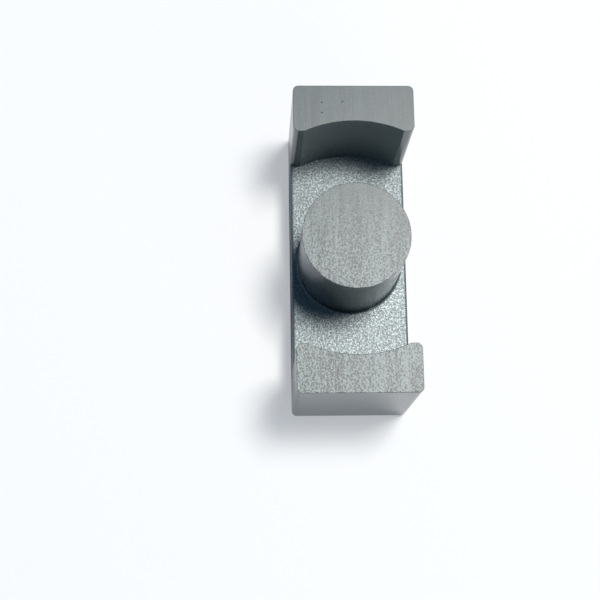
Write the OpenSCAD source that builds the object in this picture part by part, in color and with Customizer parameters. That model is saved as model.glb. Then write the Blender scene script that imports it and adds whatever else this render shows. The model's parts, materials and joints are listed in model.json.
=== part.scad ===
// Ferrite E core with a round centre post: one half of a core set, as pressed,
// sintered and ground. Lengths in millimetres. +X runs along the core, +Y across
// it and +Z up, out of the mouth of the winding window. The origin is the centre
// of the flat back face, which the core stands on.

/* [Core] */
// Overall length, over the outer faces of the two legs
core_length = 28.8; // [26.5:0.05:32]
// Overall width, the same at the yoke and at both legs
core_width = 11.2; // [11:0.1:13.5]
// Thickness of the yoke that joins the legs and the centre post
yoke_thickness = 4.35; // [3:0.05:7]

/* [Centre post] */
// Diameter of the round centre post, which the bobbin tube slides over
post_diameter = 9.9; // [8:0.05:10.1]

/* [Winding window] */
// Depth of the window, from the mating faces down to its floor
window_depth = 9.65; // [6:0.05:16]
// Diameter of the round winding space that both legs curve around
window_diameter = 21.9; // [20:0.05:22.5]
// Flat nose left on each leg beside its hollow face, measured in from the side
nose_width = 1; // [0.8:0.01:1.6]

/* [Edges] */
// Radius of the four upright outer corners
corner_radius = 0.5; // [0.2:0.05:1.2]
// Radius of the upright corners on the noses of the legs
nose_radius = 0.55; // [0.2:0.05:0.75]
// Bevel left by the press around the back face
back_bevel = 0.3; // [0.1:0.05:0.8]
// Bevel along the two open edges of the window floor
floor_bevel = 0.25; // [0.1:0.05:0.35]
// Fillet where the centre post grows out of the window floor
root_radius = 0.3; // [0.1:0.05:0.35]

/* [Hidden] */
$fn = 96;
core_height = yoke_thickness + window_depth;
half_length = core_length / 2;
half_width = core_width / 2;
post_radius = post_diameter / 2;
window_radius = window_diameter / 2;
// The hollow face of a leg ends where the flat nose starts, which sets how far the nose
// reaches in. It is rounded to a micron, so that arcs and straight sides meet exactly.
hollow_half_chord = half_width - nose_width;
nose_x = round(1000 * sqrt(pow(window_radius, 2) - pow(hollow_half_chord, 2))) / 1000;
// How far cutting and trimming shapes run past the faces that they leave alone
past = 2;

// Strip along X, centred on y = 0, with corners of radius r0 at its start and r1 at its end
module rounded_strip(x0, x1, width, r0, r1) {
    // centres of the corner circles, which every straight side is measured from
    start = x0 + r0;
    end = x1 - r1;
    y_start = width / 2 - r0;
    y_end = width / 2 - r1;
    for (side = [-1, 1]) {
        translate([start, side * y_start]) circle(r = r0);
        translate([end, side * y_end]) circle(r = r1);
    }
    translate([start - r0, -y_start]) square([end - start + r0, 2 * y_start]);
    translate([start, -y_end]) square([end - start + r1, 2 * y_end]);
    translate([start, -width / 2]) square([end - start, width]);
}

// Outline of the +X leg, seen from above: noses inwards, hollowed around the winding space
module leg_outline() {
    difference() {
        rounded_strip(nose_x, half_length, core_width, nose_radius, corner_radius);
        circle(r = window_radius);
    }
}

// Section of the yoke along or across the core, with the bevels of its long edges
module bevelled_section(span, height, bottom, top) {
    half = span / 2;
    polygon([
        [bottom - half, 0], [half - bottom, 0], [half, bottom], [half, height - top],
        [half - top, height], [top - half, height], [-half, height - top], [-half, bottom]
    ]);
}

// Keeps its children inside the two sections, so that every back edge gets its bevel
module bevel_back(height, side_bevel) {
    intersection() {
        children();
        // across the core, carried along X
        translate([-half_length - past, 0, 0]) rotate([90, 0, 90])
            linear_extrude(core_length + 2 * past)
                bevelled_section(core_width, height, back_bevel, side_bevel);
        // along the core, carried along Y
        translate([0, half_width + past, 0]) rotate([90, 0, 0])
            linear_extrude(core_width + 2 * past)
                bevelled_section(core_length, height, back_bevel, 0);
    }
}

module yoke() {
    bevel_back(yoke_thickness, floor_bevel)
        linear_extrude(yoke_thickness)
            rounded_strip(-half_length, half_length, core_width, corner_radius, corner_radius);
}

module leg() {
    bevel_back(core_height, 0)
        linear_extrude(core_height) leg_outline();
}

// The post stands in the yoke, with a collar that flares on a quarter circle down to the floor
module centre_post() {
    foot = yoke_thickness / 2;
    translate([0, 0, foot]) cylinder(r = post_radius, h = core_height - foot);
    rotate_extrude() difference() {
        translate([0, foot]) square([post_radius + root_radius, yoke_thickness - foot + root_radius]);
        translate([post_radius + root_radius, yoke_thickness + root_radius])
            circle(r = root_radius);
    }
}

module core() {
    color("dimgray") {
        yoke();
        for (turn = [0, 180]) rotate([0, 0, turn]) leg();
        centre_post();
    }
}

core();
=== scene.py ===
# %% [markdown]
# # A ferrite E core with a round centre post
# The object is one piece of pressed, sintered and ground ferrite: a flat yoke, two legs
# hollowed around the winding space, and a round post between them. A quick way would be a
# boolean of boxes and a cylinder, but that leaves razor edges and no points to wear down.
# Here the whole skin is worked out as grids of points instead, so that every edge has its
# own small rounding and the ground rims can be nicked as the real ones are.

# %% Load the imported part
import json

import bmesh
import bpy
import numpy as np
from mathutils import Matrix, Vector


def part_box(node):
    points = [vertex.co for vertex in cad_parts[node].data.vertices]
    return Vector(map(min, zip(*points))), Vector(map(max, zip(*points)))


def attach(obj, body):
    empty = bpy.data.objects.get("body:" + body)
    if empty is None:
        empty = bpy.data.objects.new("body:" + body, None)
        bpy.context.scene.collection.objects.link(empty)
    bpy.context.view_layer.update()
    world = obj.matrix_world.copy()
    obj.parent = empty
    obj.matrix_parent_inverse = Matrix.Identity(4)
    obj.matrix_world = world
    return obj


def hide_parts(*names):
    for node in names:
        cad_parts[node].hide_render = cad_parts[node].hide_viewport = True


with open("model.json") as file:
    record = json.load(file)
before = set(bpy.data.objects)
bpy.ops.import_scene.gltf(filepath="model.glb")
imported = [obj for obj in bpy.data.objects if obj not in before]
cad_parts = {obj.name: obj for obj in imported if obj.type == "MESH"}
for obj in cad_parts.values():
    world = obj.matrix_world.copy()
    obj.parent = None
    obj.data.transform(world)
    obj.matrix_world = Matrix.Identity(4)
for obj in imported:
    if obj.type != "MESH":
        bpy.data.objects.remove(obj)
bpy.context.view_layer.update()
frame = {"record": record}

# %% [markdown]
# ## Sizes
# All shapes below are in millimetres and turned into metres once, when the mesh is made.
# The overall box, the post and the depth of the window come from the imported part. The
# rest are the usual sizes of such a core: the winding space, the flat noses beside the
# hollow faces, and the small radii that the press tool leaves.

# %% Sizes of the core
MM = 0.001
box_low, box_high = (np.array(corner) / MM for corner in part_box("core"))
half_length, half_width, height = box_high[0], box_high[1], box_high[2]
mounts = {mount["name"]: mount for mount in frame["record"]["mounts"]}
post_radius = mounts["centre_post"]["dims"]["r_mm"]
root_radius = 0.3
window_depth = mounts["centre_post"]["dims"]["length_mm"] + root_radius
floor_z = height - window_depth
window_radius = 10.95
nose_width = 1.0
nose_radius = 0.55
corner_radius = 0.5
back_bevel = 0.3
floor_round = 0.25
kink_radius = 0.12
rim_radius = 0.05
nose_x = np.sqrt(window_radius**2 - (half_width - nose_width) ** 2)
print(f"floor at {floor_z:.2f} mm, noses reach in to x = {nose_x:.3f} mm")

# %% [markdown]
# ## Paths
# Seen from above, every outline of the core is made of straight stretches and arcs. Each
# stretch is kept with the direction that points into the ferrite, because the roundings
# are made by shifting the same outline inwards while it climbs. Only one quarter of the
# core is drawn: the other three are mirror images.


# %% Straight stretches, arcs and how they join
def line(start, end, steps, inward):
    """Points start + t (end - start), with t from 0 to 1, and one inward direction for all."""
    t = np.linspace(0, 1, steps + 1)[:, None]
    points = (1 - t) * np.array(start, float) + t * np.array(end, float)
    return points, np.tile(np.array(inward, float), (steps + 1, 1))


def arc(centre, radius, first, last, steps, side):
    """Points centre + radius (cos a, sin a), a in degrees. Inward is side times that direction."""
    a = np.radians(np.linspace(first, last, steps + 1))
    out = np.stack([np.cos(a), np.sin(a)], 1)
    return np.array(centre, float) + radius * out, side * out


def join(*stretches):
    """Stretches laid end to end: each one after the first drops the point that it shares."""
    points = [stretches[0][0]] + [s[0][1:] for s in stretches[1:]]
    inward = [stretches[0][1]] + [s[1][1:] for s in stretches[1:]]
    return np.concatenate(points), np.concatenate(inward)


# %% The outlines of one quarter
# Facing stretches have the same number of steps, so that their points pair up.
STEPS = {
    "hollow": 40, "kink": 4, "nose": 5, "nose_arc": 22, "side": 62, "horn": 3, "round": 4,
    "wall": 26, "leg_face": 30, "post_face": 26, "post_side": 22, "root": 5, "floor": 23,
    "yoke_side": 9, "back": 24,
}
kink_x = nose_x + kink_radius
kink_y = np.sqrt((window_radius + kink_radius) ** 2 - kink_x**2)
kink_angle = np.degrees(np.arctan2(kink_y, kink_x))
nose_arc_centre = (nose_x + nose_radius, half_width - nose_radius)
corner_centre = (half_length - corner_radius, half_width - corner_radius)

hollow = arc((0, 0), window_radius, 0, kink_angle, STEPS["hollow"], 1)
kink = arc((kink_x, kink_y), kink_radius, kink_angle + 180, 180, STEPS["kink"], -1)
nose = line((nose_x, kink_y), (nose_x, nose_arc_centre[1]), STEPS["nose"], (1, 0))
nose_arc = arc(nose_arc_centre, nose_radius, 180, 90, STEPS["nose_arc"], -1)
leg_inner = join(hollow, kink, nose, nose_arc)

end_face = line((half_length, 0), (half_length, corner_centre[1]),
                STEPS["hollow"] + STEPS["kink"], (-1, 0))
corner = arc(corner_centre, corner_radius, 0, 90, STEPS["nose"], -1)
leg_side = line((corner_centre[0], half_width), (nose_arc_centre[0], half_width),
                STEPS["nose_arc"], (0, -1))
leg_outer = join(end_face, corner, leg_side)
print("points round a quarter of a leg:", len(leg_inner[0]) + len(leg_outer[0]))

# %% [markdown]
# ## Surfaces
# A wall is an outline carried up from one height to another, and a rim is the outline
# shifted inwards as it turns over a quarter circle. Rows are packed closer near the ends
# of a surface, where light catches an edge, and are wide in the middle, where it is flat.


# %% Helpers that turn an outline into a grid of points
def eased(steps):
    """Numbers from 0 to 1, closer together at both ends: (1 - cos(pi u)) / 2."""
    return (1 - np.cos(np.pi * np.linspace(0, 1, steps + 1))) / 2


def floor_height(y):
    """Height of the window floor: flat, then a quarter circle down along both open sides."""
    t = np.clip((np.abs(y) - half_width + floor_round) / floor_round, 0, 1)
    return floor_z - floor_round * (1 - np.sqrt(1 - t**2))


def wall(path, low, high, steps):
    """Grid (rows, points, 3): each point of the outline, at heights from low to high."""
    low = np.broadcast_to(low, len(path))
    z = low + eased(steps)[:, None] * (high - low)
    return np.dstack([np.broadcast_to(path[:, 0], z.shape), np.broadcast_to(path[:, 1], z.shape), z])


def carried(path, inward, offsets, heights):
    """Grid: the outline shifted inwards by each offset, at the height that goes with it."""
    flat = path[None] + np.array(offsets)[:, None, None] * inward[None]
    z = np.broadcast_to(np.array(heights)[:, None], flat.shape[:2])
    return np.dstack([flat, z])


def between(first, last, shares):
    """Grid of straight lines from each point of one row to the same point of another."""
    s = np.array(shares)[:, None, None]
    return (1 - s) * first[None] + s * last[None]


# %% The two legs
quarter = np.radians(np.linspace(0, 90, STEPS["round"] + 1))
rim_offsets = rim_radius * (1 - np.cos(quarter))
rim_heights = height - rim_radius * (1 - np.sin(quarter))
rim_start = height - rim_radius
side_top = floor_z - floor_round
grids = []

inner_rim = carried(*leg_inner, rim_offsets, rim_heights)
outer_rim = carried(*leg_outer, rim_offsets, rim_heights)
grids.append(wall(leg_inner[0], floor_height(leg_inner[0][:, 1]), rim_start, STEPS["wall"]))
grids.append(wall(leg_outer[0], side_top, rim_start, STEPS["wall"]))
grids.append(inner_rim)
grids.append(outer_rim)
grids.append(between(inner_rim[-1], outer_rim[-1], eased(STEPS["leg_face"])))
print("points in a quarter's leg:", sum(g[..., 0].size for g in grids))

# %% [markdown]
# ## Post and floor
# Cut the middle of the core along any half plane that starts on the axis of the post, and
# the section is one line: out over the post's face, round its rim, down its side, round
# the fillet at its root, and over the floor to the foot of a leg or to the open side. So
# this is one grid: the direction of the cut is one parameter, the distance along the line
# is the other. The floor of the small horn behind each nose is a grid of its own.

# %% The line across the floor's outer edge, seen from above
edge_y = half_width - floor_round + floor_round * np.sin(quarter)
horn_flat_y = np.linspace(nose_arc_centre[1], edge_y[0], STEPS["horn"] + 1)
horn_y = np.concatenate([horn_flat_y, edge_y[1:]])
behind_nose = np.stack([np.full(len(horn_y), nose_x), horn_y], 1)
open_side = line((nose_x, half_width), (0, half_width), STEPS["side"], (0, -1))[0]
rim_of_floor = np.concatenate([join(hollow, kink, nose)[0], behind_nose[1:], open_side[1:]])
reach = np.hypot(*rim_of_floor.T)
heading = rim_of_floor / reach[:, None]

# %% One grid for the post's face, rim, side, root and the floor
opening = np.linspace(0, np.pi / 2, STEPS["post_face"] + 1)
face_r = (post_radius - rim_radius) * np.sin(opening)
side_z = rim_start + eased(STEPS["post_side"])[1:] * (floor_z + root_radius - rim_start)
turn = np.radians(np.linspace(0, 90, STEPS["root"] + 1))[1:]
post_r = np.concatenate([
    face_r,
    (post_radius - rim_offsets)[::-1][1:],
    np.full(len(side_z), post_radius),
    post_radius + root_radius * (1 - np.cos(turn)),
])
post_z = np.concatenate([
    np.full(len(face_r), height),
    rim_heights[::-1][1:],
    side_z,
    floor_z + root_radius * (1 - np.sin(turn)),
])
post_flat = post_r[:, None, None] * heading[None]
post = np.dstack([post_flat, np.broadcast_to(post_z[:, None], post_flat.shape[:2])])

inset = 1 - floor_round / half_width
floor_share = np.linspace(0, 1, STEPS["floor"] + 1)[1:, None]
floor_r = (post_radius + root_radius) * (1 - floor_share) + inset * reach * floor_share
edge_r = (edge_y[1:, None] / half_width) * reach
floor_flat = np.concatenate([floor_r, edge_r])[..., None] * heading[None]
floor = np.dstack([floor_flat, floor_height(floor_flat[..., 1])])
grids.append(np.concatenate([post, floor]))

horn_share = (horn_y - horn_y[0]) / (horn_y[-1] - horn_y[0])
horn_outer = np.stack([nose_arc[0][:, 0], np.full(len(nose_arc[0]), half_width)], 1)
horn_flat = between(nose_arc[0], horn_outer, horn_share)
grids.append(np.dstack([horn_flat, floor_height(horn_flat[..., 1])]))
print("points from post to floor in a quarter:", grids[-2][..., 0].size)

# %% [markdown]
# ## Outer sides and back
# The lower sides run all the way round at the height of the yoke. The back face has the
# bevel that the press leaves, and closes on one point in the middle.

# %% Sides of the yoke and the back face
yoke_side = (open_side[::-1], np.tile([0.0, -1.0], (len(open_side), 1)))
horn_side = (horn_outer, np.tile([0.0, -1.0], (len(horn_outer), 1)))
leg_round = (leg_outer[0][::-1], leg_outer[1][::-1])
outline = join(yoke_side, horn_side, leg_round)
# The bevel's two edges are softened: each offset goes with the height below it.
soft = 0.06
bevel_offsets = [0, 0.2 * soft, soft, back_bevel - soft, back_bevel - 0.2 * soft, back_bevel + soft]
bevel_heights = [back_bevel + soft, back_bevel - 0.2 * soft, back_bevel - soft, soft, 0.2 * soft, 0]
back_edge = carried(*outline, bevel_offsets, bevel_heights)
centre = np.zeros_like(back_edge[-1])
grids.append(wall(outline[0], back_bevel + soft, side_top, STEPS["yoke_side"]))
grids.append(back_edge)
grids.append(between(back_edge[-1], centre, np.linspace(0, 1, STEPS["back"] + 1)))
print("points round a quarter of the back:", len(outline[0]))

# %% [markdown]
# ## Welding the quarters together
# Neighbouring grids were made to share the points along their edges. Rounding every point
# to a hundredth of a micron and keeping each one once joins them into a single closed
# skin. Where a grid narrows to a point, its squares lose a corner and become triangles.


# %% From grids to one skin
def squares(rows, columns, start):
    """Corner numbers of the squares of a grid whose points are numbered row by row."""
    number = start + np.arange(rows * columns).reshape(rows, columns)
    corners = [number[:-1, :-1], number[:-1, 1:], number[1:, 1:], number[1:, :-1]]
    return np.stack(corners, -1).reshape(-1, 4)


def weld(grids):
    """All grids in the four mirror images, with each point once and faces of 4 or 3 corners."""
    points, faces, start = [], [], 0
    for mirror_x in (1, -1):
        for mirror_y in (1, -1):
            for grid in grids:
                rows, columns = grid.shape[:2]
                points.append(grid.reshape(-1, 3) * (mirror_x, mirror_y, 1))
                faces.append(squares(rows, columns, start))
                start += rows * columns
    points, faces = np.concatenate(points), np.concatenate(faces)
    keys_per_mm = 1e5
    keys = np.round(points * keys_per_mm).astype(np.int64)
    first, number = np.unique(keys, axis=0, return_index=True, return_inverse=True)[1:]
    points, faces = points[first], number.ravel()[faces]
    same = faces == np.roll(faces, -1, axis=1)
    quads = faces[same.sum(1) == 0]
    narrow, double = faces[same.sum(1) == 1], same[same.sum(1) == 1]
    triangles = narrow[~double].reshape(-1, 3)
    return points, quads, triangles


points, quads, triangles = weld(grids)
print(f"welded skin: {len(points)} points, {len(quads)} squares, {len(triangles)} triangles")

# %% [markdown]
# ## Nicks in a ground rim
# Ferrite is brittle, and the wheel that ground the mating faces broke small nicks out of
# the long outer rim of one leg. They could be dark spots in the material, but then they
# would have no depth from the side. Here each nick is a shallow bowl pressed into the
# skin, and its floor stays below the ground plane, so the finish leaves it dark.

# %% Press the nicks into the outer rim of one leg
# A bowl is as deep as its full depth times 1 - along^2 - across^2, and 0 outside of that.
NICKS = 24
RIM_BAND = 0.4
ACROSS_TO_ALONG = 0.6
seeded = np.random.default_rng(28)
nick_y = (1 - 1.9 * seeded.uniform(0.0, 1.0, NICKS) ** 0.6) * half_width
nick_reach = seeded.uniform(0.07, 0.15, NICKS)
nick_depth = seeded.uniform(0.014, 0.03, NICKS)
on_rim = (points[:, 2] > rim_start - 1e-6) & (points[:, 0] < RIM_BAND - half_length)
near_rim = points[on_rim]
along = (near_rim[:, 1:2] - nick_y) / nick_reach
across = (near_rim[:, :1] + half_length) / (ACROSS_TO_ALONG * nick_reach)
bowls = nick_depth * np.clip(1 - along**2 - across**2, 0, 1)
points[on_rim, 2] -= bowls.max(axis=1)
print(f"nicks: {NICKS}, deepest {bowls.max():.3f} mm")

# %% [markdown]
# ## The mesh
# Blender takes the points in metres and each face as the numbers of its corners. Mirroring
# turned half of the faces inside out. Because the skin is closed, Blender can tell inside
# from outside and turn them back. Shading is smooth, apart from real edges such as the
# foot of a leg, where two faces meet at more than 40 degrees.

# %% Make the mesh
mesh = bpy.data.meshes.new("core_skin")
mesh.from_pydata((points * MM).tolist(), [], quads.tolist() + triangles.tolist())
work = bmesh.new()
work.from_mesh(mesh)
bmesh.ops.recalc_face_normals(work, faces=work.faces)
open_edges = sum(not edge.is_manifold for edge in work.edges)
volume = work.calc_volume(signed=True) / MM**3
work.to_mesh(mesh)
work.free()
mesh.polygons.foreach_set("use_smooth", np.ones(len(mesh.polygons), bool))
mesh.set_sharp_from_angle(angle=np.radians(40))
print(f"open edges: {open_edges}, volume: {volume:.1f} mm3")

core = bpy.data.objects.new("ferrite_core", mesh)
bpy.context.scene.collection.objects.link(core)
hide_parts("core")
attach(core, "root")

# %% [markdown]
# ## Finishes
# Ferrite is one dark material with three finishes. The pressed sides are smooth, dark and
# glossy where light grazes them. The window floor was never rubbed by the die and keeps
# the sparkle of its coarse grains. The mating faces were ground after firing, which left
# them paler, finely speckled and lined along the core. Height tells them apart: only what
# reaches the mating plane met the grinding wheel, so nicks in a rim stay dark by themselves.


# %% Shader maths as Python expressions
class Socket:
    """One output of a node. An operator between sockets or numbers adds its Math node."""

    def __init__(self, finish, output):
        self.finish, self.output = finish, output

    def math(self, operation, *values):
        """The result of one operation on the values, in their order."""
        return self.finish.node("ShaderNodeMath", {"operation": operation}, dict(enumerate(values)))

    def __add__(self, other):
        return self.math("ADD", self, other)

    def __sub__(self, other):
        return self.math("SUBTRACT", self, other)

    def __rsub__(self, other):
        return self.math("SUBTRACT", other, self)

    def __mul__(self, other):
        return self.math("MULTIPLY", self, other)

    __radd__, __rmul__ = __add__, __mul__

    def ramp(self, low, high, first=0.0, last=1.0):
        """Runs from first to last, without a step, as the value goes from low to high."""
        values = {"Value": self, "From Min": low, "From Max": high, "To Min": first, "To Max": last}
        return self.finish.node("ShaderNodeMapRange", {"interpolation_type": "SMOOTHSTEP"}, values)


class Finish:
    """A material whose nodes are all made by one method."""

    def __init__(self, name):
        self.material = bpy.data.materials.new(name)
        self.material.use_nodes = True
        self.tree = self.material.node_tree
        self.tree.nodes.clear()

    def node(self, kind, settings=None, inputs=None, output=0):
        """Makes a node, applies its settings, then fills its sockets with values or links."""
        made = self.tree.nodes.new(kind)
        for name, value in (settings or {}).items():
            setattr(made, name, value)
        for name, value in (inputs or {}).items():
            if isinstance(value, Socket):
                self.tree.links.new(value.output, made.inputs[name])
            else:
                made.inputs[name].default_value = value
        return Socket(self, made.outputs[output]) if made.outputs else None

    def mix(self, share, first, second):
        """Colour that goes from first to second as share goes from 0 to 1."""
        kind = {"data_type": "RGBA"}
        return self.node("ShaderNodeMix", kind, {0: share, 6: first, 7: second}, output=2)

    def grain(self, where, size, detail=2.0, rough=0.5):
        """Noise from about 0.3 to 0.7 whose grains are about size millimetres wide."""
        values = {"Vector": where, "Scale": 0.5 / size, "Detail": detail, "Roughness": rough}
        return self.node("ShaderNodeTexNoise", {"normalize": True}, values)


# %% Where a point lies on the core, and which finish it has there
ferrite = Finish("ferrite")
place = ferrite.node("ShaderNodeTexCoord", output=3)
place = ferrite.node("ShaderNodeVectorMath", {"operation": "SCALE"}, {0: place, 3: 1 / MM})
x, y, z = (ferrite.node("ShaderNodeSeparateXYZ", None, {0: place}, output=i) for i in range(3))
facing = ferrite.node("ShaderNodeNewGeometry", output=1)
facing_up = ferrite.node("ShaderNodeSeparateXYZ", None, {0: facing}, output=2)

ground_start, ground_full = height - 0.03, height - 0.01
floor_full, floor_end = floor_z + 0.1, floor_z + 0.3
ground = z.ramp(ground_start, ground_full)
window_floor = (1 - z.ramp(floor_full, floor_end)) * facing_up.ramp(0.6, 0.95)
print("nodes for the three finishes:", len(ferrite.tree.nodes))

# %% [markdown]
# ## Ground faces
# The wheel ran along the core, slightly turned. Scratches could be cut into the mesh one by
# one, but they are finer than any face of it, so a noise stretched along X gives the lines
# and the broader ridges. Opened grains make the faces speckled. Towards the near end the
# colour is painted paler and its speckle, lines and ridges stronger: a painted sheen where
# the ground faces' gloss catches the lamp.

# %% Colour of the ground faces, with a painted sheen towards the near end
wheel_turn, wheel_stretch = 0.07, 0.08
speckle_weight, line_weight, cloud_weight, ridge_weight = 6.5, 1.4, 0.2, 2.4
dark_ground, pale_ground = (0.038, 0.047, 0.047, 1), (0.2, 0.243, 0.239, 1)
turn_and_stretch = {
    "Vector": place, "Rotation": (0, 0, wheel_turn), "Scale": (wheel_stretch, 1, 1),
}
turned = ferrite.node("ShaderNodeMapping", None, turn_and_stretch)
lines = ferrite.grain(turned, 0.1, 3, 0.6)
# Painted sheen: this mask makes the ground faces paler, and their speckle, lines and ridges
# stronger, towards the near end, in place of the lamp's gloss on them.
painted_sheen_to_near_end = x.ramp(half_length / 2, -half_length / 2, 0.05, 1.0)
speckle = ferrite.grain(place, 0.09, 2, 0.6)
cloud = ferrite.grain(place, 2.5)
ground_tone_and_sheen = (speckle - 0.5) * painted_sheen_to_near_end * speckle_weight
ground_tone_and_sheen = ground_tone_and_sheen + (lines - 0.5) * (painted_sheen_to_near_end + 0.2) * line_weight
ground_tone_and_sheen = ground_tone_and_sheen + (cloud - 0.5) * cloud_weight + painted_sheen_to_near_end * 0.17 + 0.35
ridges = ferrite.grain(turned, 0.4, 1)
ground_tone_and_sheen = ground_tone_and_sheen + (ridges - 0.5) * (painted_sheen_to_near_end + 0.06) * ridge_weight
ground_colour_and_sheen = ferrite.mix(ground_tone_and_sheen, dark_ground, pale_ground)
print("nodes with the ground faces:", len(ferrite.tree.nodes))

# %% [markdown]
# ## Pits
# A few small pits are older than the grinding, so the wheel never reached their floor. A
# noise would scatter them everywhere. Each is listed instead, as a round spot about a
# centre in millimetres, where the ground finish is taken away.

# %% Pits in the ground faces
PITS = ((12.7, 2.9), (12.8, 1.0), (11.7, 2.9), (3.0, -1.8), (3.4, -3.0), (1.2, 4.1))
pit_floor, pit_edge = 0.05, 0.14
pits = 0
for pit in PITS:
    centre_of_pit = {0: place, 1: (*pit, height)}
    away = ferrite.node("ShaderNodeVectorMath", {"operation": "DISTANCE"}, centre_of_pit, output=1)
    pits = pits + away.ramp(pit_floor, pit_edge, 1, 0)
ground = ground * (1 - pits)
print("pits:", len(PITS))

# %% [markdown]
# ## Window floor
# Neither the die nor the wheel rubbed this face, so its coarse grains stay open and each
# catches the light at its own angle. Loose flakes would show that, at the price of
# millions of faces. One noise with a grain of a tenth of a millimetre is enough: it sets
# the colour, how metallic a fleck looks, and the bump.

# %% Colour of the window floor
dark_fleck, pale_fleck = (0.09, 0.109, 0.112, 1), (0.235, 0.284, 0.292, 1)
fleck = ferrite.grain(place, 0.09, 3, 0.6)
fleck_tone = fleck.ramp(0.36, 0.66)
floor_colour = ferrite.mix(fleck_tone, dark_fleck, pale_fleck)
print("nodes with the window floor:", len(ferrite.tree.nodes))

# %% [markdown]
# ## Pressed sides
# The walls slid along the polished die and came out dark, smooth and a little glossy. One
# flat colour would look like plastic, so a broad faint noise stirs colour, roughness and
# bump.

# %% Colour of the pressed sides
dark_side, pale_side = (0.027, 0.04, 0.045, 1), (0.04, 0.056, 0.061, 1)
side_tone = ferrite.grain(place, 0.6, 4, 0.6)
pressed = (1 - ground) * (1 - window_floor)
side_colour = ferrite.mix(side_tone, dark_side, pale_side)
print("nodes with the pressed sides:", len(ferrite.tree.nodes))

# %% [markdown]
# ## One material
# The skin is one piece, so the three finishes are three masks in one material. Ground
# faces and the window floor scatter light more than the sides do. The ground faces' bump
# fades towards the far end, with the same mask as their painted sheen.

# %% Put the ferrite together
side_rough, side_stir, ground_rough, floor_rough = 0.17, 0.08, 0.24, 0.25
speckle_height, fleck_height, side_height = 1.8, 1.6, 0.5
colour = ferrite.mix(window_floor, side_colour, floor_colour)
colour = ferrite.mix(ground, colour, ground_colour_and_sheen)
roughness = side_rough + side_tone * pressed * side_stir
roughness = roughness + ground * ground_rough + window_floor * floor_rough
metal = fleck_tone * window_floor * 0.5
height_map = speckle * ground * painted_sheen_to_near_end * speckle_height + fleck * window_floor * fleck_height
height_map = height_map + side_tone * pressed * side_height
bump = {"Strength": 0.5, "Distance": 0.03 * MM, "Height": height_map}
bumped = ferrite.node("ShaderNodeBump", None, bump)
skin = ferrite.node("ShaderNodeBsdfPrincipled", None, {
    "Base Color": colour, "Roughness": roughness, "Metallic": metal, "Normal": bumped, "IOR": 1.6,
})
ferrite.node("ShaderNodeOutputMaterial", None, {"Surface": skin})
mesh.materials.append(ferrite.material)
print("nodes in the whole ferrite:", len(ferrite.tree.nodes))

# %% [markdown]
# ## Table
# The core stands on a plain white table. The camera and the core's own gloss see part of
# it as plain white, and more of it the farther away it lies, which keeps the background
# pale from every side, while the matte part still takes the core's shadow. Gloss sees the
# table right beside the core as matte only: there the core's own shadow shows in its
# reflections, and the white is taken out in a ring all round the core, a painted shade in
# them. A brighter lamp would make the table as pale, but it would bleach the core too.

# %% Table
bpy.ops.mesh.primitive_plane_add(size=3)
table = bpy.context.object
table.name = "table"
paper = Finish("white_table")
matte = paper.node("ShaderNodeBsdfDiffuse", None, {"Color": (0.93, 0.93, 0.93, 1)})
white = paper.node("ShaderNodeEmission", None, {"Color": (1, 1, 1, 1), "Strength": 1.0})
seen = paper.node("ShaderNodeLightPath", output=0)
mirrored = paper.node("ShaderNodeLightPath", output=3)
through = paper.node("ShaderNodeLightPath", output=6)
spot = paper.node("ShaderNodeTexCoord", output=3)
distance = paper.node("ShaderNodeVectorMath", {"operation": "LENGTH"}, {0: spot}, output=1)
shade_start, shade_end = 0.009, 0.0145
fade_start, fade_end = 0.08, 0.4
plain = distance.ramp(fade_start, fade_end, 0.41, 1.0)
# The white seen in gloss is left out within 9 to 14.5 mm of the core: a painted shade ring in the
# core's reflections.
gloss_glow_and_shade_ring = distance.ramp(shade_start, shade_end, 0.0, 0.35)
gloss_glow_and_shade_ring = gloss_glow_and_shade_ring + distance.ramp(fade_start, fade_end, 0.0, 0.65)
share = seen * plain + (mirrored + through) * gloss_glow_and_shade_ring
both = paper.node("ShaderNodeMixShader", None, {0: share, 1: matte, 2: white})
paper.node("ShaderNodeOutputMaterial", None, {"Surface": both})
table.data.materials.append(paper.material)
print("table:", table.name, "with", len(paper.tree.nodes), "nodes")

# %% [markdown]
# ## Camera
# The camera looks steeply down from beyond one leg and is turned a little about its own
# axis. It stands close, at a little over four times the length of the core, so that the
# legs and the post lean apart as they rise. Its directions are worked out from three
# angles: which way it looks, how steeply, and how far it is rolled about its own axis.

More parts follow.
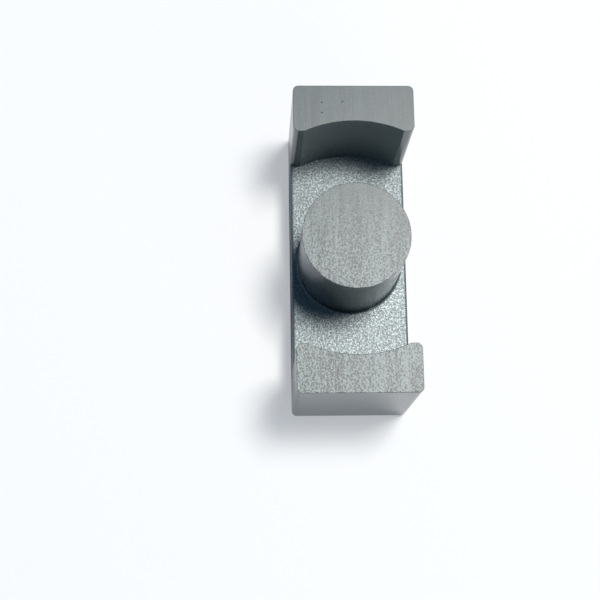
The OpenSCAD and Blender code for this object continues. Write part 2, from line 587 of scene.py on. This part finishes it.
# %% Camera
azimuth, elevation, roll = (float(np.radians(a)) for a in (-10.19, 76.254, 9.65))
level = float(np.cos(elevation))
ahead, aside = level * float(np.cos(azimuth)), level * float(np.sin(azimuth))
forward = Vector((ahead, aside, -float(np.sin(elevation))))
level_right = forward.cross(Vector((0, 0, 1))).normalized()
level_up = level_right.cross(forward)
right = float(np.cos(roll)) * level_right + float(np.sin(roll)) * level_up
up = -float(np.sin(roll)) * level_right + float(np.cos(roll)) * level_up
stand_x, stand_y, stand_z = (c * MM for c in (-32.2, 9.92, 122.7))
camera_data = bpy.data.cameras.new("camera")
camera = bpy.data.objects.new("camera", camera_data)
bpy.context.scene.collection.objects.link(camera)
camera.matrix_world = Matrix((
    (right.x, up.x, -forward.x, stand_x),
    (right.y, up.y, -forward.y, stand_y),
    (right.z, up.z, -forward.z, stand_z),
    (0, 0, 0, 1),
))
camera_data.sensor_width = 36
camera_data.lens = 75.648
camera_data.clip_start = 0.005
bpy.context.scene.camera = camera
print("camera distance in mm:", round(camera.matrix_world.translation.length / MM, 1))

# %% [markdown]
# ## Light
# One soft square lamp hangs above, behind and to the right, and throws the short shadows
# of the legs and the post. A low wide strip fills the front without reaching over the
# near leg, and a dim blue world colours what the lamp does not reach.


# %% Light
def lamp(name, position, width, tall, power, colour):
    """Area lamp, width by tall in metres, that points at the origin."""
    data = bpy.data.lights.new(name, "AREA")
    data.shape = "RECTANGLE"
    data.size, data.size_y = width, tall
    data.energy = power
    data.color = colour
    obj = bpy.data.objects.new(name, data)
    bpy.context.scene.collection.objects.link(obj)
    obj.location = position
    obj.rotation_euler = (-position).to_track_quat("-Z", "Y").to_euler()


lamp("key", Vector((0.082, -0.122, 0.535)), 0.145, 0.145, 2.95, (1, 0.985, 0.955))
lamp("front", Vector((-0.5, -0.15, 0.06)), 0.4, 0.08, 1.1, (0.92, 0.98, 1))

# %% Dim surroundings
world = bpy.data.worlds.new("world")
bpy.context.scene.world = world
world.use_nodes = True
background = world.node_tree.nodes["Background"]
background.inputs["Color"].default_value = (0.5, 0.9, 1.4, 1)
background.inputs["Strength"].default_value = 0.15
bpy.context.scene.view_settings.view_transform = "Standard"
print("lamps:", [light.name for light in bpy.data.lights])
